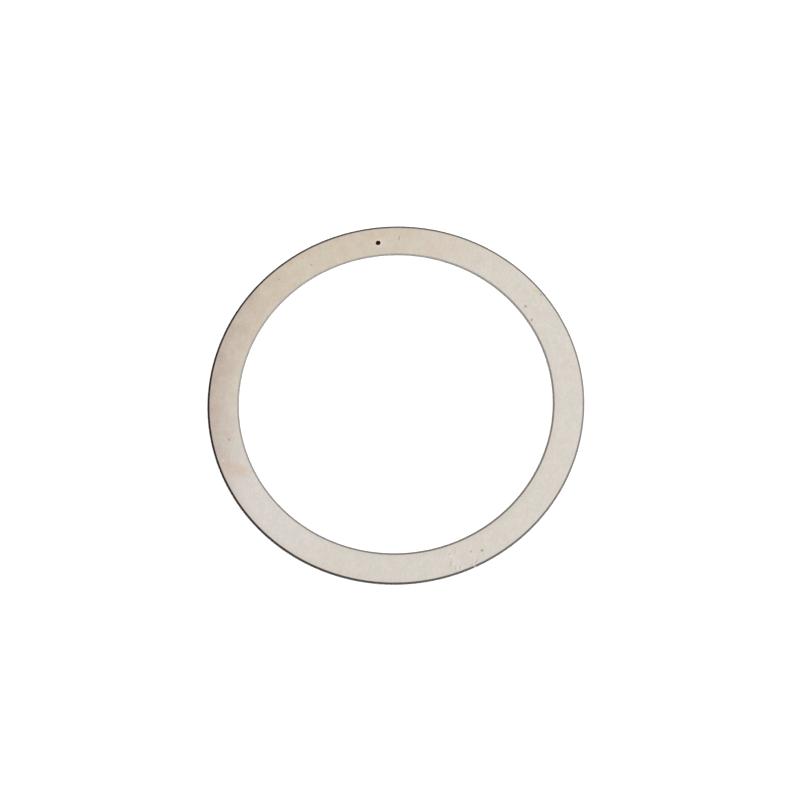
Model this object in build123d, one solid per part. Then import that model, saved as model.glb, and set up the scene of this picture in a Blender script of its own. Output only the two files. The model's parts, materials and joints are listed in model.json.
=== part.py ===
import os

from build123d import *

# A shim ring: one thin flat ring, blanked from steel strip. It goes over a shaft
# or into a housing, beside a bearing or a gear, and its thickness takes up a gap.
# It lies flat. Its underside is on Z = 0, the bore's centre is at X = Y = 0, and
# its small round mark is in the upper face, towards +Y. Sizes are in millimetres.

bore_diameter = 100.0
band_width = 10.0
thickness = 0.5

# Blanking draws the metal down at the upper edges. The burr that it leaves on the
# lower edges is taken off.
edge_roll_radius = 0.12
edge_break = 0.05

# The mark is the pit of a blunt tapered punch, a little nearer to the bore than to the rim.
mark_from_bore = 4.5
mark_diameter = 1.5
mark_floor_diameter = 0.9
mark_web = 0.15  # metal left under the pit

bore_radius = bore_diameter / 2
mark_circle_radius = bore_radius + mark_from_bore


def band_section():
    """The band cut through at +X: rounded above, with its lower corners broken."""
    with BuildSketch(Plane.XZ) as section:
        with Locations((bore_radius, 0)):
            Rectangle(band_width, thickness, align=Align.MIN)
        lower_corners, upper_corners = section.vertices().group_by(Axis.Y)
        chamfer(lower_corners, length=edge_break)
        fillet(upper_corners, radius=edge_roll_radius)
    return section.sketch


def punch_pit():
    """The metal that the mark takes away, with its mouth in the upper face."""
    mouth_radius = mark_diameter / 2
    floor_radius = mark_floor_diameter / 2
    with BuildSketch(Plane.XZ) as half_section:
        with BuildLine():
            Polyline(
                (0, mark_web),
                (floor_radius, mark_web),
                (mouth_radius, thickness),
                (0, thickness),
                close=True,
            )
        make_face()
    pit = revolve(half_section.sketch, axis=Axis.Z)
    return Pos(0, mark_circle_radius, 0) * pit


def shim_ring():
    """The whole ring: its section turned about the bore's axis, less the mark."""
    return revolve(band_section(), axis=Axis.Z) - punch_pit()


ring = shim_ring()
ring.label = "shim_ring"

os.makedirs("parts", exist_ok=True)
export_step(ring, "parts/shim_ring.step")
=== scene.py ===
import json
import math

import bpy
from mathutils import Matrix, Vector, noise


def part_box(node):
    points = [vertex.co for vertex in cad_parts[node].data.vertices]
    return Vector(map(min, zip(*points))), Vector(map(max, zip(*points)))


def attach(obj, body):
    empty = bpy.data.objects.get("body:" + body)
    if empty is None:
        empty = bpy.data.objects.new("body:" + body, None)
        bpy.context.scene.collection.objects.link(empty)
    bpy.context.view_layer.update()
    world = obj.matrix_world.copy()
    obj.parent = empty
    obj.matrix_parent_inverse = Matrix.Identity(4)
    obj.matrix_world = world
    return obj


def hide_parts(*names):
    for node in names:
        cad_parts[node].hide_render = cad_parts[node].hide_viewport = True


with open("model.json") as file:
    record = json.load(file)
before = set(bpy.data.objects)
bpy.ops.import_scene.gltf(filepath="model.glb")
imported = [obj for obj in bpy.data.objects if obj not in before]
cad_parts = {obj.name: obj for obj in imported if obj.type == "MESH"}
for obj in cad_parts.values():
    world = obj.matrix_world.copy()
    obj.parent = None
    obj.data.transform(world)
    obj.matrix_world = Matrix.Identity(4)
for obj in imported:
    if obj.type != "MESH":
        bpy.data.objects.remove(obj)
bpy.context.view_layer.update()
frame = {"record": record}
scene = bpy.context.scene
mm = 0.001


def mountSize(name, size):
    mounts = frame["record"]["mounts"]
    return next(m["dims"][size] for m in mounts if m["name"] == name) * mm


# the ring's real sizes, as packed
boreRadius = mountSize("bore", "r_mm")
rimRadius = mountSize("rim", "r_mm")
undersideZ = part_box("shim_ring")[0].z
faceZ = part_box("shim_ring")[1].z
bandMiddle = (boreRadius + rimRadius) / 2
print(f"ring {2 * boreRadius / mm:.1f} x {2 * rimRadius / mm:.1f} x {(faceZ - undersideZ) / mm:.2f} mm")


def onRing(radius, angle):
    # a place on the upper face: radius in mm, angle in degrees from +X towards the mark at +Y
    turn = math.radians(angle)
    return Vector((radius * mm * math.cos(turn), radius * mm * math.sin(turn), faceZ))


def addObject(name, data):
    made = bpy.data.objects.new(name, data)
    scene.collection.objects.link(made)
    return made


# ring mesh: one closed section, carried round the bore, with the punched mark let into the upper face

ringShape = {
    "columns": 900,             # round the ring, an even number; the first one is on the mark
    "faceRows": 26,             # across the flat of the upper face
    "undersideRows": 6,
    "edgeRoll": 0.12 * mm,      # upper edges, drawn down by the blanking die
    "rollSteps": 6,
    "edgeBreak": 0.05 * mm,     # lower edges, deburred
    "wallSteps": 3,
    "edgeWander": 0.006 * mm,   # how far the cut edges stray from true
    "wanderWaves": 24,          # how closely those waves follow each other
    "nicks": [(rimRadius, 288.4), (rimRadius, 152.0), (boreRadius, 228.0)],
    "nickDepth": 0.05 * mm,
    "nickLength": 0.35 * mm,
    "sharpAngle": 40,           # degrees; gentler bends are shaded smooth
}

markShape = {
    "fromBore": 4.5 * mm,
    "mouthRadius": 0.75 * mm,
    "floorRadius": 0.45 * mm,
    "depth": 0.35 * mm,
    "lipHeight": 0.014 * mm,    # metal that the punch pushed up
    "lipWidth": 0.28 * mm,
    "mouthRound": 0.03 * mm,
    "footRound": 0.02 * mm,
    "halfWindow": 5,            # cells taken out of the face on each side of the mark
}

markCentre = Vector((0, boreRadius + markShape["fromBore"], 0))

finishes = ["face", "edge", "underside", "mark"]    # in the order of the ring's materials


def edgeDrift(edgeRadius, angle):
    # how far the cut wall stands in or out at this angle, worn nicks included
    shape = ringShape
    place = Vector((math.cos(angle), math.sin(angle), edgeRadius / rimRadius)) * shape["wanderWaves"]
    drift = noise.noise(place) + 0.5 * noise.noise(place * 3.1)     # slow waves, and finer ones on them
    drift *= shape["edgeWander"]
    intoMetal = -1 if edgeRadius == rimRadius else 1
    for radius, degrees in shape["nicks"]:
        if radius == edgeRadius:
            gap = (angle - math.radians(degrees) + math.pi) % (2 * math.pi) - math.pi
            along = gap * radius / shape["nickLength"]
            drift += intoMetal * shape["nickDepth"] * math.exp(-along * along * 4)
    return drift


def bandSection():
    # radius, height, how much of the edge's drift the point takes, edge radius, and finish
    shape = ringShape
    roll = shape["edgeRoll"]
    cut = shape["edgeBreak"]
    points = []
    flatStart = boreRadius + roll
    flatWidth = rimRadius - roll - flatStart
    for row in range(shape["faceRows"] + 1):
        radius = flatStart + flatWidth * row / shape["faceRows"]
        points.append((radius, faceZ, 0.0, rimRadius, "face"))
    for step in range(1, shape["rollSteps"] + 1):
        turn = math.pi / 2 * (1 - step / shape["rollSteps"])
        radius = rimRadius - roll + roll * math.cos(turn)
        height = faceZ - roll + roll * math.sin(turn)
        points.append((radius, height, step / shape["rollSteps"], rimRadius, "edge"))
    wallTop = faceZ - roll
    wallFoot = undersideZ + cut
    for step in range(1, shape["wallSteps"] + 1):
        height = wallTop + (wallFoot - wallTop) * step / shape["wallSteps"]
        points.append((rimRadius, height, 1.0, rimRadius, "edge"))
    under = (rimRadius - cut) - (boreRadius + cut)
    for row in range(shape["undersideRows"] + 1):
        radius = rimRadius - cut - under * row / shape["undersideRows"]
        points.append((radius, undersideZ, 0.0, rimRadius, "edge" if row == 0 else "underside"))
    for step in range(shape["wallSteps"] + 1):
        height = wallFoot + (wallTop - wallFoot) * step / shape["wallSteps"]
        points.append((boreRadius, height, 1.0, boreRadius, "edge"))
    for step in range(1, shape["rollSteps"]):
        turn = math.pi - math.pi / 2 * step / shape["rollSteps"]
        radius = boreRadius + roll + roll * math.cos(turn)
        height = faceZ - roll + roll * math.sin(turn)
        points.append((radius, height, 1 - step / shape["rollSteps"], boreRadius, "edge"))
    return points


def squareToRound(corner, share, radius, height):
    # moves a corner of the window towards a circle round the mark, and to a height
    flat = Vector((corner.x - markCentre.x, corner.y - markCentre.y, 0))
    onCircle = flat.normalized() * radius
    blended = flat.lerp(onCircle, share)
    return Vector((markCentre.x + blended.x, markCentre.y + blended.y, height))


def markRings():
    # share of the way from window to circle, radius, height and finish, from the window in to the floor
    mouth = markShape["mouthRadius"]
    floor = markShape["floorRadius"]
    lip = markShape["lipWidth"]
    rise = markShape["lipHeight"]
    depth = markShape["depth"]
    mouthRound = markShape["mouthRound"]
    footRound = markShape["footRound"]
    foot = faceZ - depth
    slope = mouth - floor
    return [
        (0.45, mouth + 2.2 * lip, faceZ, "face"),
        (0.85, mouth + 1.5 * lip, faceZ, "face"),
        (1.0, mouth + lip, faceZ, "face"),
        (1.0, mouth + 0.6 * lip, faceZ + 0.6 * rise, "face"),
        (1.0, mouth + 0.25 * lip, faceZ + rise, "face"),
        (1.0, mouth + 0.12 * lip, faceZ + 0.7 * rise, "mark"),
        (1.0, mouth - mouthRound, faceZ - mouthRound, "mark"),
        (1.0, mouth - 0.35 * slope, faceZ - 0.35 * depth, "mark"),
        (1.0, floor + 0.25 * slope, faceZ - 0.75 * depth, "mark"),
        (1.0, floor + mouthRound, foot + footRound, "mark"),
        (1.0, floor - 2 * footRound, foot, "mark"),
        (1.0, 0.5 * floor, foot, "mark"),
    ]


def bandPoints(section):
    # the section's points at every column, the stray of the cut edges included
    points = []
    columns = ringShape["columns"]
    for column in range(columns):
        angle = math.pi / 2 + 2 * math.pi * column / columns
        drift = {radius: edgeDrift(radius, angle) for radius in (boreRadius, rimRadius)}
        for radius, height, takes, edge, finish in section:
            reach = radius + takes * drift[edge]
            points.append(Vector((reach * math.cos(angle), reach * math.sin(angle), height)))
    return points


def windowCorners(middleRow):
    # column and row of each corner of a cell along the window's outline, once round
    half = markShape["halfWindow"]
    low = middleRow - half
    high = middleRow + half
    corners = [(column, low) for column in range(-half, half)]
    corners += [(half, row) for row in range(low, high)]
    corners += [(column, high) for column in range(half, -half, -1)]
    corners += [(-half, row) for row in range(high, low, -1)]
    return corners


def letInMark(vertices, faces, looks, outline):
    # fills the window with rings of faces, from its outline in to the floor of the mark
    corners = [vertices[index] for index in outline]
    count = len(outline)
    previous = outline
    for share, radius, height, finish in markRings():
        loop = range(len(vertices), len(vertices) + count)
        vertices += [squareToRound(corner, share, radius, height) for corner in corners]
        for k in range(count):
            after = (k + 1) % count
            faces.append((previous[k], loop[k], loop[after], previous[after]))
            looks.append(finish)
        previous = loop
    middle = len(vertices)
    vertices.append(Vector((markCentre.x, markCentre.y, faceZ - markShape["depth"])))
    for k in range(count):
        faces.append((previous[k], middle, previous[(k + 1) % count]))
        looks.append("mark")


def buildRing():
    columns = ringShape["columns"]
    section = bandSection()
    rows = len(section)
    vertices = bandPoints(section)

    def at(column, row):
        return (column % columns) * rows + row % rows

    half = markShape["halfWindow"]
    rowWidth = section[1][0] - section[0][0]
    middleRow = round((markCentre.y - section[0][0]) / rowWidth)
    faces = []
    looks = []
    for column in range(-columns // 2, columns // 2):
        for row in range(rows):
            if -half <= column < half and middleRow - half <= row < middleRow + half:
                continue
            faces.append((at(column, row), at(column, row + 1), at(column + 1, row + 1), at(column + 1, row)))
            nextRow = (row + 1) % rows
            looks.append(section[nextRow][4] if nextRow else "edge")
    letInMark(vertices, faces, looks, [at(column, row) for column, row in windowCorners(middleRow)])

    mesh = bpy.data.meshes.new("shimRing")
    mesh.from_pydata(vertices, [], faces)
    mesh.validate()
    for polygon, look in zip(mesh.polygons, looks):
        polygon.material_index = finishes.index(look)
        polygon.use_smooth = True
    mesh.update()
    mesh.set_sharp_from_angle(angle=math.radians(ringShape["sharpAngle"]))
    print(f"ring mesh: {len(mesh.vertices)} points, {len(mesh.polygons)} faces")
    return addObject("shimRing", mesh)


# node helpers

numberSocket = "NodeSocketFloat"
placeSocket = "NodeSocketVector"
colourSocket = "NodeSocketColor"
black = (0, 0, 0, 1)


def newGroup(name, inputs, outputs):
    # the group, the sockets that bring in what its user wants, and those that take what it gives
    group = bpy.data.node_groups.new(name, "ShaderNodeTree")
    for label, kind, value in inputs:
        socket = group.interface.new_socket(name=label, in_out="INPUT", socket_type=kind)
        socket.default_value = value
    for label, kind in outputs:
        group.interface.new_socket(name=label, in_out="OUTPUT", socket_type=kind)
    start = group.nodes.new("NodeGroupInput")
    end = group.nodes.new("NodeGroupOutput")
    return group, start.outputs, end.inputs


def feed(tree, socket, value):
    # links another node's output to the socket, or sets a plain value on it
    if isinstance(value, bpy.types.NodeSocket):
        tree.links.new(value, socket)
    else:
        socket.default_value = value


def addNode(tree, kind, settings=None, values=None):
    node = tree.nodes.new(kind)
    for key, value in (settings or {}).items():
        setattr(node, key, value)
    for key, value in (values or {}).items():
        feed(tree, node.inputs[key], value)
    return node


def calculate(tree, operation, *values):
    return addNode(tree, "ShaderNodeMath", {"operation": operation}, dict(enumerate(values))).outputs[0]


def calculateVector(tree, operation, *values):
    made = addNode(tree, "ShaderNodeVectorMath", {"operation": operation}, dict(enumerate(values)))
    return made.outputs["Value" if operation in ("LENGTH", "DOT_PRODUCT") else "Vector"]


def smoothStep(tree, value, low, high, atLow=0.0, atHigh=1.0):
    ends = {"Value": value, "From Min": low, "From Max": high, "To Min": atLow, "To Max": atHigh}
    return addNode(tree, "ShaderNodeMapRange", {"interpolation_type": "SMOOTHSTEP"}, ends).outputs["Result"]


def mixColour(tree, share, first, second, blend="MIX"):
    settings = {"data_type": "RGBA", "blend_type": blend}
    return addNode(tree, "ShaderNodeMix", settings, {0: share, 6: first, 7: second}).outputs[2]


def placeGroup(tree, group, values):
    return addNode(tree, "ShaderNodeGroup", {"node_tree": group}, values)


def ringPlace(tree):
    return addNode(tree, "ShaderNodeTexCoord").outputs["Object"]


def splitPlace(tree, place):
    return addNode(tree, "ShaderNodeSeparateXYZ", None, {"Vector": place}).outputs


def joinPlace(tree, x, y, z=0.0):
    return addNode(tree, "ShaderNodeCombineXYZ", None, {"X": x, "Y": y, "Z": z}).outputs[0]


def turnBack(tree, place, angle):
    # turns what lies along the angle on to the X axis
    settings = {"rotation_type": "Z_AXIS", "invert": True}
    return addNode(tree, "ShaderNodeVectorRotate", settings, {"Vector": place, "Angle": angle}).outputs[0]


def radiusAndBearing(tree, place):
    parts = splitPlace(tree, place)
    radius = calculateVector(tree, "LENGTH", joinPlace(tree, parts["X"], parts["Y"]))
    return radius, calculate(tree, "ARCTAN2", parts["Y"], parts["X"])


def alongLines(tree, place, angle, across, length):
    # packs the place closely across the angle and loosely along it, so that a noise there makes lines
    along = calculate(tree, "DIVIDE", across, length)
    packed = joinPlace(tree, along, across, along)
    return calculateVector(tree, "MULTIPLY", turnBack(tree, place, angle), packed)


def cloudy(tree, place, scale, detail, roughness, distortion=0.0, layer=None):
    # a noise round 0.5; with a layer it has a fourth axis, and each layer is a pattern of its own
    values = {"Vector": place, "Scale": scale, "Detail": detail, "Roughness": roughness}
    values["Distortion"] = distortion
    if layer is not None:
        values["W"] = layer
    settings = {"noise_dimensions": "3D" if layer is None else "4D"}
    return addNode(tree, "ShaderNodeTexNoise", settings, values).outputs["Fac"]


def strayBy(tree, value, clouds, amount):
    # makes a border uneven: the noise moves it either way by up to half of the amount
    push = calculate(tree, "MULTIPLY", calculate(tree, "SUBTRACT", clouds, 0.5), amount)
    return calculate(tree, "ADD", value, push)


# shared effects; their sizes and widths are in mm

def buildRolledGrain():
    # fine lines along the strip that the ring was cut from
    group, wants, gives = newGroup(
        "rolledGrain",
        [("Angle", numberSocket, 0.0), ("Lines per mm", numberSocket, 6.0), ("Length", numberSocket, 30.0)],
        [("Height", numberSocket), ("Shade", numberSocket)],
    )
    across = calculate(group, "MULTIPLY", wants["Lines per mm"], 1 / mm)
    place = alongLines(group, ringPlace(group), wants["Angle"], across, wants["Length"])
    fine = cloudy(group, place, 1.0, 3.0, 0.6)
    coarse = cloudy(group, place, 0.4, 2.0, 0.5)
    feed(group, gives["Height"], fine)
    coarsePart = calculate(group, "MULTIPLY", coarse, 0.3)
    feed(group, gives["Shade"], calculate(group, "MULTIPLY_ADD", fine, 0.7, coarsePart))
    return group


def buildMottle():
    # soft clouds of tone and of hue, as on steel that has been handled and stored
    group, wants, gives = newGroup(
        "mottle",
        [("Cloud Size", numberSocket, 5.0), ("Fleck Size", numberSocket, 0.7), ("Seed", numberSocket, 0.0)],
        [("Cloud", numberSocket), ("Hue", numberSocket), ("Fleck", numberSocket)],
    )
    place = calculateVector(group, "ADD", ringPlace(group), wants["Seed"])
    cloudScale = calculate(group, "DIVIDE", 1 / mm, wants["Cloud Size"])
    fleckScale = calculate(group, "DIVIDE", 1 / mm, wants["Fleck Size"])
    cloud = cloudy(group, place, cloudScale, 4.0, 0.55, distortion=0.4)
    hue = cloudy(group, place, cloudScale, 2.0, 0.5, layer=3.7)
    fleck = cloudy(group, place, fleckScale, 2.0, 0.6)
    feed(group, gives["Cloud"], smoothStep(group, cloud, 0.3, 0.7))
    feed(group, gives["Hue"], smoothStep(group, hue, 0.32, 0.68))
    feed(group, gives["Fleck"], smoothStep(group, fleck, 0.25, 0.75))
    return group


def buildEdgeLineAndShade():
    # the dark line along the rim and along the bore, heavier towards one bearing of each: painted shade and
    # painted dark reflection of the edges, heaviest on the side away from the light, with a painted soft
    # shadow beside it
    group, wants, gives = newGroup(
        "edgeLineAndShade",
        [("Rim Shaded Side", colourSocket, black), ("Rim Lit Side", colourSocket, black),
         ("Rim Bearing", numberSocket, 0.0), ("Bore Shaded Side", colourSocket, black),
         ("Bore Lit Side", colourSocket, black), ("Bore Bearing", numberSocket, 0.0),
         ("Rim Width", numberSocket, 0.3), ("Bore Width", numberSocket, 0.3),
         ("Extra Width", numberSocket, 0.1), ("Fade", numberSocket, 0.2),
         ("Unevenness", numberSocket, 0.1), ("Shadow Reach", numberSocket, 3.0),
         ("Bore Shadow", numberSocket, 0.6), ("Rim Falloff", numberSocket, 1.0)],
        [("Mask", numberSocket), ("Shadow", numberSocket), ("Colour", colourSocket)],
    )
    place = ringPlace(group)
    radius, bearing = radiusAndBearing(group, place)
    onRim = calculate(group, "GREATER_THAN", radius, bandMiddle)

    def perEdge(atBore, atRim):
        return calculate(group, "MULTIPLY_ADD", calculate(group, "SUBTRACT", atRim, atBore), onRim, atBore)

    fromBore = calculate(group, "SUBTRACT", radius, boreRadius)
    fromRim = calculate(group, "SUBTRACT", rimRadius, radius)
    nearest = calculate(group, "DIVIDE", calculate(group, "MINIMUM", fromBore, fromRim), mm)
    wavesPerMetre = 900.0
    uneven = strayBy(group, nearest, cloudy(group, place, wavesPerMetre, 3.0, 0.6), wants["Unevenness"])
    # painted shade: the bearing of each edge that lies away from the light
    shadiestBearing = perEdge(wants["Bore Bearing"], wants["Rim Bearing"])
    towards = calculate(group, "COSINE", calculate(group, "SUBTRACT", bearing, shadiestBearing))
    weight = calculate(group, "MULTIPLY_ADD", towards, 0.5, 0.5)

    width = perEdge(wants["Bore Width"], wants["Rim Width"])
    width = calculate(group, "MULTIPLY_ADD", weight, wants["Extra Width"], width)
    outer = calculate(group, "ADD", width, wants["Fade"])
    feed(group, gives["Mask"], smoothStep(group, uneven, width, outer, 1.0, 0.0))

    # painted soft shadow beside the line, stronger towards the shaded bearing
    soft = smoothStep(group, uneven, 0.0, wants["Shadow Reach"], 1.0, 0.0)
    soft = calculate(group, "MULTIPLY", soft, calculate(group, "POWER", weight, 2.0))
    share = calculate(group, "MAXIMUM", wants["Bore Shadow"], onRim)
    feed(group, gives["Shadow"], calculate(group, "MULTIPLY", soft, share))

    # painted shade: the colour runs from the lit tint to the shaded tint towards that bearing
    darkness = calculate(group, "POWER", weight, perEdge(1.0, wants["Rim Falloff"]))
    dark = mixColour(group, onRim, wants["Bore Shaded Side"], wants["Rim Shaded Side"])
    light = mixColour(group, onRim, wants["Bore Lit Side"], wants["Rim Lit Side"])
    feed(group, gives["Colour"], mixColour(group, darkness, light, dark))
    return group


def buildSidePatch():
    # a patch that covers one side of the ring, centred on a bearing, with a cloudy border
    group, wants, gives = newGroup(
        "sidePatch",
        [("Bearing", numberSocket, 0.0), ("Half Spread", numberSocket, 1.0), ("Border", numberSocket, 0.6),
         ("Cloudiness", numberSocket, 0.5), ("Towards Rim", numberSocket, 0.0)],
        [("Mask", numberSocket)],
    )
    place = ringPlace(group)
    radius, bearing = radiusAndBearing(group, place)
    gap = calculate(group, "SUBTRACT", bearing, wants["Bearing"])
    wrapped = calculate(group, "ARCCOSINE", calculate(group, "COSINE", gap))
    wavesPerMetre = 170.0
    far = strayBy(group, wrapped, cloudy(group, place, wavesPerMetre, 4.0, 0.6), wants["Cloudiness"])
    outer = calculate(group, "ADD", wants["Half Spread"], wants["Border"])
    cover = smoothStep(group, far, wants["Half Spread"], outer, 1.0, 0.0)
    fromMiddle = calculate(group, "SUBTRACT", radius, bandMiddle)
    across = calculate(group, "DIVIDE", fromMiddle, rimRadius - bandMiddle)
    lean = calculate(group, "MULTIPLY_ADD", across, wants["Towards Rim"], 1.0)
    feed(group, gives["Mask"], calculate(group, "MULTIPLY", cover, lean))
    return group


def buildSpot():
    # one small spot or short stroke at a place on the ring
    group, wants, gives = newGroup(
        "spot",
        [("Place", placeSocket, (0, 0, 0)), ("Radius", numberSocket, 0.3), ("Stretch", numberSocket, 1.0),
         ("Angle", numberSocket, 0.0), ("Raggedness", numberSocket, 0.3)],
        [("Mask", numberSocket)],
    )
    place = ringPlace(group)
    away = calculateVector(group, "SUBTRACT", place, wants["Place"])
    parts = splitPlace(group, turnBack(group, away, wants["Angle"]))
    lengthways = calculate(group, "DIVIDE", parts["X"], wants["Stretch"])
    reach = calculateVector(group, "LENGTH", joinPlace(group, lengthways, parts["Y"]))
    share = calculate(group, "DIVIDE", calculate(group, "DIVIDE", reach, mm), wants["Radius"])
    wavesPerMetre = 2500.0
    share = strayBy(group, share, cloudy(group, place, wavesPerMetre, 2.0, 0.6), wants["Raggedness"])
    feed(group, gives["Mask"], smoothStep(group, share, 0.45, 1.1, 1.0, 0.0))
    return group


def buildScratches():
    # thin straight scratches in three directions round one main one
    group, wants, gives = newGroup(
        "scratches",
        [("Angle", numberSocket, 0.0), ("Fan", numberSocket, 0.5), ("Spacing", numberSocket, 1.0),
         ("Length", numberSocket, 14.0), ("Amount", numberSocket, 0.3), ("Seed", numberSocket, 0.0)],
        [("Mask", numberSocket)],
    )
    place = ringPlace(group)
    across = calculate(group, "DIVIDE", 1 / mm, wants["Spacing"])
    # a scratch begins where the noise comes above faint, and is whole at bold
    faint = calculate(group, "SUBTRACT", 0.78, calculate(group, "MULTIPLY", wants["Amount"], 0.2))
    bold = calculate(group, "ADD", faint, 0.03)
    mask = 0.0
    for step, turn in enumerate((-1.0, 0.15, 1.0)):
        angle = calculate(group, "MULTIPLY_ADD", wants["Fan"], turn, wants["Angle"])
        lines = alongLines(group, place, angle, across, wants["Length"])
        layer = calculate(group, "ADD", wants["Seed"], 7.3 * step)
        field = cloudy(group, lines, 1.0, 1.0, 0.5, layer=layer)
        mask = calculate(group, "MAXIMUM", mask, smoothStep(group, field, faint, bold))
    feed(group, gives["Mask"], mask)
    return group


effects = {
    "grain": buildRolledGrain(),
    "mottle": buildMottle(),
    "edge": buildEdgeLineAndShade(),
    "sidePatch": buildSidePatch(),
    "spot": buildSpot(),
    "scratches": buildScratches(),
}
print(f"shader groups: {len(effects)}")


# materials

def rgb(red, green, blue):
    # a colour as a paint chart gives it, 0 to 255, turned into the linear values that the shader takes
    parts = []
    for part in (red, green, blue):
        share = part / 255
        parts.append(share / 12.92 if share <= 0.04045 else ((share + 0.055) / 1.055) ** 2.4)
    return (*parts, 1.0)


def newMaterial(name, roughness, metallic=1.0):
    material = bpy.data.materials.new(name)
    material.use_nodes = True
    tree = material.node_tree
    shader = tree.nodes["Principled BSDF"]
    shader.inputs["Metallic"].default_value = metallic
    shader.inputs["Roughness"].default_value = roughness
    return material, tree, shader


def addBump(tree, shader, height, look):
    values = {"Height": height, "Distance": look["bumpDepth"], "Strength": look["bumpStrength"]}
    bump = addNode(tree, "ShaderNodeBump", None, values)
    feed(tree, shader.inputs["Normal"], bump.outputs["Normal"])


def placeMottle(tree, look, seed):
    values = {"Cloud Size": look["cloudSize"], "Fleck Size": look["fleckSize"], "Seed": seed}
    return placeGroup(tree, effects["mottle"], values)


edgeFinish = {
    # painted shade: each edge's line in a shaded and a lit tint
    "rimShadedSide": rgb(50, 41, 37),
    "rimLitSide": rgb(140, 137, 133),
    "rimBearing": 178,           # degrees; where the rim's line is at its darkest, its painted shade heaviest
    "rimFalloff": 0.58,          # under 1, the line stays dark for longer on both sides of there
    "boreShadedSide": rgb(120, 115, 110),
    "boreLitSide": rgb(172, 169, 164),
    "boreBearing": 305,
    "rimWidth": 0.42,            # mm, full strength
    "boreWidth": 0.36,
    "extraWidth": 0.14,          # mm, added where the line is darkest, under its heaviest painted shade
    "fade": 0.24,                # mm, from there to nothing
    "shadowReach": 3.2,          # mm, of the painted soft shadow beside the line
    "boreShadow": 0.5,           # its strength at the bore, against 1 at the rim
    "wander": 0.12,              # mm, how far the line's border strays
    "wallShade": 0.5,            # the upright cut walls against the rolled edges above them
    "wallTurn": 0.6,             # how far a rolled edge looks up, of 1, where that shade has gone
    "cloudSize": 1.2,            # mm
    "fleckSize": 0.2,            # mm
    "seed": 0.7,
    "cloudTones": (0.85, 1.12),  # darkest and lightest, against 1
    "roughness": 0.45,
    "bumpDepth": 0.01 * mm,
    "bumpStrength": 0.5,
}

faceColours = {
    "steel": rgb(214, 208, 199),
    "cool": rgb(209, 207, 194),
    "blush": rgb(217, 205, 199),
    "tan": rgb(200, 180, 151),
    "dun": rgb(184, 168, 158),
    "shadow": rgb(186, 171, 167),
    "pale": rgb(221, 215, 211),
    "stain": rgb(203, 178, 155),
    "straw": rgb(214, 200, 160),
    "lip": rgb(230, 208, 197),
    "polished": rgb(232, 226, 218),
    "speck": rgb(120, 104, 84),
}

# the rolled steel itself, the same above and below
steelFinish = {
    "hueShare": 0.36,            # how much of the cool and blush clouds shows
    "cloudSize": 3.6,            # mm
    "fleckSize": 0.7,            # mm
    "grainAngle": 72,            # degrees from +X
    "linesPerMm": 9.0,
    "lineLength": 30.0,          # against the space between lines
    "cloudTones": (0.97, 1.025),  # darkest and lightest, against 1
    "fleckTones": (0.965, 1.03),
    "grainTones": (0.945, 1.055),
    "roughness": 0.42,           # on average
    "roughnessSpread": 0.08,
    "scratchDepth": 0.6,         # against the height of the grain
    "bumpDepth": 0.004 * mm,
    "bumpStrength": 0.5,
}

faceFinish = {
    "seed": 0.0,
    "patchCloudiness": 0.7,
    "patchTones": (0.8, 1.2),    # faintest and strongest part of a patch, against 1
    "spotRaggedness": 0.9,
    "strokeRaggedness": 0.4,
    "shadowShare": 0.34,         # of the painted soft shadow beside the dark line
    "scratches": {
        "Angle": math.radians(35), "Fan": 1.1, "Spacing": 0.9, "Length": 16.0, "Amount": 0.5, "Seed": 11.0,
    },
    "scratchShare": 0.1,
}

undersideFinish = {
    "seed": 0.31,
    "scratches": {
        "Angle": math.radians(-20), "Fan": 0.9, "Spacing": 0.8, "Length": 18.0, "Amount": 0.8, "Seed": 5.0,
    },
    "scratchShare": 0.35,
}

# broad patches on the upper face, warm ones and a pale one:
# colour, bearing, half spread and border in degrees, lean to the rim, strength
sidePatches = [
    ("tan", 122, 20, 70, 0.15, 0.46),
    ("dun", 170, 14, 37, 1.1, 0.36),
    ("pale", 214, 8, 24, 0.0, 0.4),
]

# small marks on the upper face:
# colour, radius in mm, bearing in degrees, size in mm, stretch, tilt in degrees, strength
faceSpots = [
    ("stain", 55.4, 198.0, 2.6, 2.2, 158, 0.43),
    ("stain", 57.4, 193.4, 1.8, 1.8, 112, 0.37),
    ("stain", 57.1, 174.5, 1.3, 6.0, 84, 0.17),
    ("blush", 57.9, 193.6, 0.45, 1.8, 150, 0.9),
    ("speck", 56.2, 292.7, 0.45, 1.2, 20, 0.6),
    ("speck", 55.0, 289.5, 0.42, 1.0, 0, 0.4),
    ("speck", 52.5, 31.1, 0.45, 1.5, 118, 0.55),
    ("speck", 51.4, 25.7, 0.40, 1.5, 60, 0.55),
    ("speck", 59.0, 31.2, 0.32, 2.2, 128, 0.4),
    ("speck", 58.2, 33.5, 0.30, 1.6, 128, 0.3),
    ("speck", 55.85, 82.8, 0.32, 3.2, 72, 0.42),
    ("speck", 54.3, 187.4, 0.38, 1.6, 130, 0.4),
    ("speck", 54.2, 114.3, 0.42, 1.3, 150, 0.4),
    ("speck", 56.4, 126.1, 0.40, 1.3, 30, 0.3),
    ("straw", 58.0, 121.9, 0.7, 1.5, 40, 0.45),
    ("straw", 58.2, 33.0, 1.3, 1.6, 128, 0.25),
    ("polished", 56.1, 350.2, 0.34, 3.4, 40, 0.3),
    ("polished", 54.0, 355.8, 0.30, 2.6, 36, 0.25),
    ("lip", 54.5, 90.0, 1.7, 1.0, 0, 0.65),
    ("speck", 58.4, 289.6, 0.26, 3.6, 50, 0.3),
    ("speck", 58.9, 287.6, 0.24, 3.0, 46, 0.25),
]

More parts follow.
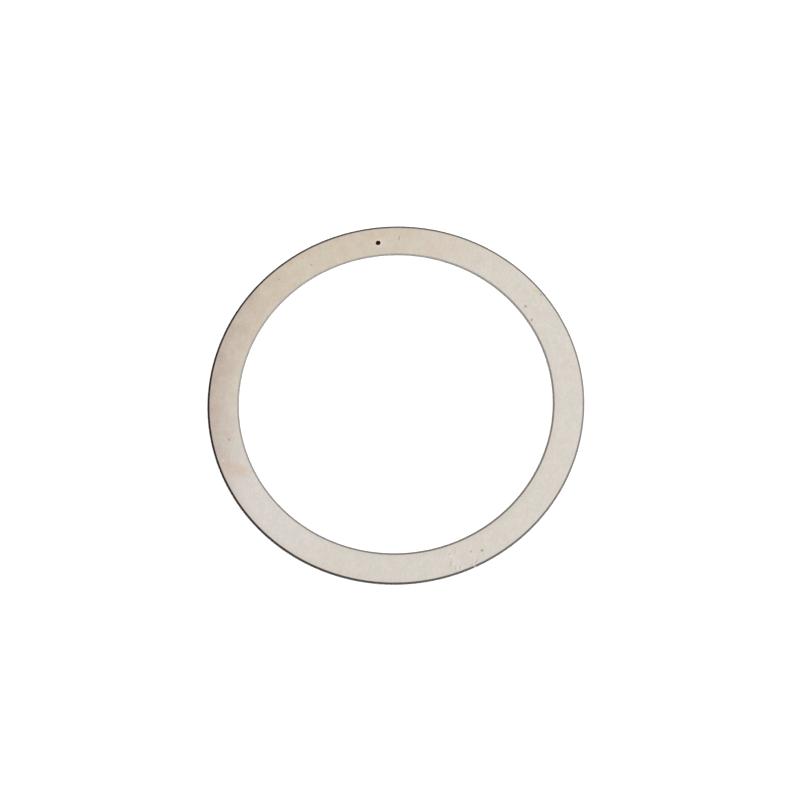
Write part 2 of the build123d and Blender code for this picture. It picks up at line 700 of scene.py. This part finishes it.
# a bunch of short strokes, nearly parallel, light ones beside dark ones; given like the spots above
faceStrokes = [
    ("polished", 52.0, 283.0, 0.3, 2.4, 88, 0.7),
    ("polished", 53.9, 282.7, 0.3, 1.8, 75, 0.8),
    ("speck", 53.2, 282.6, 0.3, 2.3, 72, 0.2),
    ("speck", 53.0, 284.5, 0.3, 2.5, 78, 0.14),
    ("speck", 56.3, 281.7, 0.3, 4.8, 70, 0.19),
    ("polished", 56.5, 283.0, 0.3, 2.1, 62, 0.6),
    ("speck", 57.9, 282.9, 0.3, 3.1, 72, 0.18),
    ("polished", 58.2, 283.5, 0.3, 3.3, 84, 0.9),
    ("speck", 58.3, 284.1, 0.3, 2.8, 73, 0.2),
    ("polished", 58.8, 284.7, 0.3, 1.8, 63, 0.8),
]

# where the dark line is rubbed through to bare metal
edgeFlecks = [
    ("steel", 59.75, 288.4, 0.42, 1.2, 18, 0.7),
]


# the dark edge line, painted shade and painted dark reflection, and the painted soft shadow beside it
def edgeLineAndShadeTones(tree):
    look = edgeFinish
    return placeGroup(tree, effects["edge"], {
        "Rim Shaded Side": look["rimShadedSide"],
        "Rim Lit Side": look["rimLitSide"],
        "Rim Bearing": math.radians(look["rimBearing"]),
        "Bore Shaded Side": look["boreShadedSide"],
        "Bore Lit Side": look["boreLitSide"],
        "Bore Bearing": math.radians(look["boreBearing"]),
        "Rim Width": look["rimWidth"],
        "Bore Width": look["boreWidth"],
        "Extra Width": look["extraWidth"],
        "Fade": look["fade"],
        "Unevenness": look["wander"],
        "Shadow Reach": look["shadowReach"],
        "Bore Shadow": look["boreShadow"],
        "Rim Falloff": look["rimFalloff"],
    })


def steelBase(tree, seed):
    # clean rolled steel: its colour, how light that is, its mottle and its grain
    look = steelFinish
    mottle = placeMottle(tree, look, seed)
    grain = placeGroup(tree, effects["grain"], {
        "Angle": math.radians(look["grainAngle"]),
        "Lines per mm": look["linesPerMm"],
        "Length": look["lineLength"],
    })
    hue = mixColour(tree, mottle.outputs["Hue"], faceColours["cool"], faceColours["blush"])
    colour = mixColour(tree, look["hueShare"], faceColours["steel"], hue)
    cloudTone = smoothStep(tree, mottle.outputs["Cloud"], 0.0, 1.0, *look["cloudTones"])
    fleckTone = smoothStep(tree, mottle.outputs["Fleck"], 0.0, 1.0, *look["fleckTones"])
    grainTone = smoothStep(tree, grain.outputs["Shade"], 0.3, 0.7, *look["grainTones"])
    tone = calculate(tree, "MULTIPLY", calculate(tree, "MULTIPLY", cloudTone, fleckTone), grainTone)
    return colour, tone, mottle, grain


def applyTone(tree, colour, tone):
    grey = addNode(tree, "ShaderNodeCombineColor", None, {"Red": tone, "Green": tone, "Blue": tone})
    return mixColour(tree, 1.0, colour, grey.outputs[0], "MULTIPLY")


def paintSpots(tree, colour, spots, raggedness):
    for name, radius, bearing, size, stretch, tilt, strength in spots:
        spot = placeGroup(tree, effects["spot"], {
            "Place": onRing(radius, bearing),
            "Radius": size,
            "Stretch": stretch,
            "Angle": math.radians(tilt),
            "Raggedness": raggedness,
        })
        share = calculate(tree, "MULTIPLY", spot.outputs["Mask"], strength)
        colour = mixColour(tree, share, colour, faceColours[name])
    return colour


def paintPatches(tree, colour, hueClouds):
    look = faceFinish
    for name, bearing, spread, border, lean, strength in sidePatches:
        patch = placeGroup(tree, effects["sidePatch"], {
            "Bearing": math.radians(bearing),
            "Half Spread": math.radians(spread),
            "Border": math.radians(border),
            "Cloudiness": look["patchCloudiness"],
            "Towards Rim": lean,
        })
        cover = calculate(tree, "MULTIPLY", patch.outputs["Mask"], strength)
        uneven = smoothStep(tree, hueClouds, 0.0, 1.0, *look["patchTones"])
        colour = mixColour(tree, calculate(tree, "MULTIPLY", cover, uneven), colour, faceColours[name])
    return colour


def scratchSteel(tree, colour, look):
    # the colour with bright scratches on it, and where they are
    scratches = placeGroup(tree, effects["scratches"], look["scratches"])
    share = calculate(tree, "MULTIPLY", scratches.outputs["Mask"], look["scratchShare"])
    return mixColour(tree, share, colour, faceColours["polished"]), scratches.outputs["Mask"]


def finishSteel(tree, shader, colour, mottle, grain, scratched):
    look = steelFinish
    spread = look["roughnessSpread"]
    smoothest = look["roughness"] - spread / 2
    feed(tree, shader.inputs["Base Color"], colour)
    rough = calculate(tree, "MULTIPLY_ADD", mottle.outputs["Cloud"], spread, smoothest)
    feed(tree, shader.inputs["Roughness"], rough)
    height = calculate(tree, "MULTIPLY_ADD", scratched, -look["scratchDepth"], grain.outputs["Height"])
    addBump(tree, shader, height, look)


def faceMaterial():
    look = faceFinish
    material, tree, shader = newMaterial("faceSteel", steelFinish["roughness"])
    colour, tone, mottle, grain = steelBase(tree, look["seed"])
    colour = paintPatches(tree, colour, mottle.outputs["Hue"])
    colour = paintSpots(tree, colour, faceSpots, look["spotRaggedness"])
    colour = paintSpots(tree, colour, faceStrokes, look["strokeRaggedness"])
    colour, scratched = scratchSteel(tree, colour, look)
    colour = applyTone(tree, colour, tone)
    edge = edgeLineAndShadeTones(tree)
    # painted soft shadow beside the rim and the bore
    share = calculate(tree, "MULTIPLY", edge.outputs["Shadow"], look["shadowShare"])
    colour = mixColour(tree, share, colour, faceColours["shadow"])
    # the dark edge line: painted shade and painted dark reflection, heavier on one side
    colour = mixColour(tree, edge.outputs["Mask"], colour, edge.outputs["Colour"])
    colour = paintSpots(tree, colour, edgeFlecks, look["strokeRaggedness"])
    finishSteel(tree, shader, colour, mottle, grain, scratched)
    return material


def undersideMaterial():
    look = undersideFinish
    material, tree, shader = newMaterial("undersideSteel", steelFinish["roughness"])
    colour, tone, mottle, grain = steelBase(tree, look["seed"])
    colour, scratched = scratchSteel(tree, colour, look)
    colour = applyTone(tree, colour, tone)
    edge = edgeLineAndShadeTones(tree)
    # the dark edge line, painted shade, carried on to the underside
    colour = mixColour(tree, edge.outputs["Mask"], colour, edge.outputs["Colour"])
    finishSteel(tree, shader, colour, mottle, grain, scratched)
    return material


def edgeMaterial():
    look = edgeFinish
    material, tree, shader = newMaterial("edgeSteel", look["roughness"])
    mottle = placeMottle(tree, look, look["seed"])
    tone = smoothStep(tree, mottle.outputs["Cloud"], 0.0, 1.0, *look["cloudTones"])
    facing = addNode(tree, "ShaderNodeNewGeometry").outputs["Normal"]
    shade = smoothStep(tree, splitPlace(tree, facing)["Z"], 0.0, look["wallTurn"], look["wallShade"], 1.0)
    tone = calculate(tree, "MULTIPLY", tone, shade)
    # the cut edges take the dark line's colour, painted shade and painted dark reflection heavier on one
    # side; the upright walls are painted darker still, as painted shade
    edge = edgeLineAndShadeTones(tree)
    feed(tree, shader.inputs["Base Color"], applyTone(tree, edge.outputs["Colour"], tone))
    addBump(tree, shader, mottle.outputs["Fleck"], look)
    return material


markFinish = {
    "dark": rgb(30, 9, 3),
    "brown": rgb(142, 106, 84),
    "brownSide": (0.35, -0.94, 0),   # from the mark's middle, away from the rim
    "brownFrom": 0.05 * mm,          # that far towards the brown side the brown begins
    "brownFull": 0.75 * mm,
    "brownTones": (0.6, 1.0),        # faintest and strongest brown
    "cloudSize": 0.5,                # mm
    "fleckSize": 0.1,                # mm
    "seed": 0.2,
    "roughness": 0.8,
    "specular": 0.15,
    "bumpDepth": 0.02 * mm,
    "bumpStrength": 0.6,
}


def markMaterial():
    # dark inside, and rusty brown on the side away from the rim
    look = markFinish
    material, tree, shader = newMaterial("markStain", look["roughness"], metallic=0.0)
    shader.inputs["Specular IOR Level"].default_value = look["specular"]
    mottle = placeMottle(tree, look, look["seed"])
    offset = calculateVector(tree, "SUBTRACT", ringPlace(tree), markCentre)
    towards = calculateVector(tree, "DOT_PRODUCT", offset, look["brownSide"])
    side = smoothStep(tree, towards, look["brownFrom"], look["brownFull"])
    patchy = smoothStep(tree, mottle.outputs["Cloud"], 0.0, 1.0, *look["brownTones"])
    share = calculate(tree, "MULTIPLY", side, patchy)
    feed(tree, shader.inputs["Base Color"], mixColour(tree, share, look["dark"], look["brown"]))
    addBump(tree, shader, mottle.outputs["Fleck"], look)
    return material


ring = buildRing()
for made in (faceMaterial(), edgeMaterial(), undersideMaterial(), markMaterial()):     # as in finishes
    ring.data.materials.append(made)
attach(ring, "root")
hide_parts("shim_ring")
print("ring finished")


# floor, light and camera

stageLook = {
    "floorSize": 8.0,
    "floorColour": 0.9,          # what the ring's surroundings get from it
    "floorSeen": 1.6,            # what the camera and the metal see of it; unshadowed floor is then white
    "skyTop": 0.85,
    "skySide": 0.6,
    "skyBlend": 0.9,             # how high, of 1, the top's level is reached
}


def grey(level):
    return (level, level, level, 1)


def buildFloor():
    half = stageLook["floorSize"] / 2
    mesh = bpy.data.meshes.new("floor")
    corners = [(-half, -half), (half, -half), (half, half), (-half, half)]
    mesh.from_pydata([(x, y, undersideZ) for x, y in corners], [], [(0, 1, 2, 3)])
    floor = addObject("floor", mesh)
    material = bpy.data.materials.new("floorWhite")
    material.use_nodes = True
    tree = material.node_tree
    tree.nodes.clear()
    path = addNode(tree, "ShaderNodeLightPath")
    seen = calculate(tree, "MAXIMUM", path.outputs["Is Camera Ray"], path.outputs["Is Glossy Ray"])
    seen = calculate(tree, "MAXIMUM", seen, path.outputs["Is Transmission Ray"])
    plain = addNode(tree, "ShaderNodeBsdfDiffuse", None, {"Color": grey(stageLook["floorColour"])})
    bright = addNode(tree, "ShaderNodeBsdfDiffuse", None, {"Color": grey(stageLook["floorSeen"])})
    either = addNode(tree, "ShaderNodeMixShader", None, {0: seen, 1: plain.outputs[0], 2: bright.outputs[0]})
    output = addNode(tree, "ShaderNodeOutputMaterial")
    feed(tree, output.inputs["Surface"], either.outputs[0])
    mesh.materials.append(material)


def buildSky():
    world = bpy.data.worlds.new("softRoom")
    scene.world = world
    world.use_nodes = True
    tree = world.node_tree
    background = tree.nodes["Background"]
    look = stageLook
    height = splitPlace(tree, addNode(tree, "ShaderNodeTexCoord").outputs["Generated"])["Z"]
    level = smoothStep(tree, height, 0.0, look["skyBlend"], look["skySide"], look["skyTop"])
    feed(tree, background.inputs["Color"], grey(1))
    feed(tree, background.inputs["Strength"], level)


# angles in degrees, distance and size in metres
softLamps = [
    {"name": "keyWindow", "azimuth": 8, "elevation": 42, "distance": 1.4, "size": 0.9, "level": 1.0},
    {"name": "overhead", "azimuth": 80, "elevation": 70, "distance": 1.5, "size": 1.5, "level": 0.25},
]


def buildLamps():
    for lamp in softLamps:
        turn = math.radians(lamp["azimuth"])
        lift = math.radians(lamp["elevation"])
        towards = Vector((math.cos(turn) * math.cos(lift), math.sin(turn) * math.cos(lift), math.sin(lift)))
        data = bpy.data.lights.new(lamp["name"], "AREA")
        data.shape = "SQUARE"
        data.size = lamp["size"]
        data.energy = lamp["level"] * math.pi * lamp["size"] ** 2
        placed = addObject(lamp["name"], data)
        placed.location = towards * lamp["distance"]
        placed.rotation_euler = (-towards).to_track_quat("-Z", "Y").to_euler()


cameraPlace = {
    "azimuth": -1.36,            # degrees; the mark then stands a little left of the far side
    "elevation": 71.56,
    "roll": -4.89,
    "distance": 742.2 * mm,
    "lens": 104.87,              # mm, as is the sensor
    "sensorWidth": 36.0,
    "besideCentre": 1.42 * mm,   # how far the middle of the view lies from the ring's centre
    "aboveCentre": 0.40 * mm,
}


def buildCamera():
    turn = math.radians(cameraPlace["azimuth"])
    lift = math.radians(cameraPlace["elevation"])
    back = Vector((math.sin(turn) * math.cos(lift), -math.cos(turn) * math.cos(lift), math.sin(lift)))
    level = Vector((math.cos(turn), math.sin(turn), 0))
    upright = back.cross(level)
    roll = math.radians(cameraPlace["roll"])
    right = level * math.cos(roll) + upright * math.sin(roll)
    up = upright * math.cos(roll) - level * math.sin(roll)
    data = bpy.data.cameras.new("camera")
    data.lens = cameraPlace["lens"]
    data.sensor_width = cameraPlace["sensorWidth"]
    camera = addObject("camera", data)
    camera.matrix_world = Matrix((right, up, back)).transposed().to_4x4()
    aim = Vector((0, 0, undersideZ))
    camera.location = (
        aim + back * cameraPlace["distance"]
        + right * cameraPlace["besideCentre"] + up * cameraPlace["aboveCentre"]
    )
    scene.camera = camera


buildFloor()
buildSky()
buildLamps()
buildCamera()
scene.view_settings.view_transform = "Standard"
print("floor, light and camera placed")
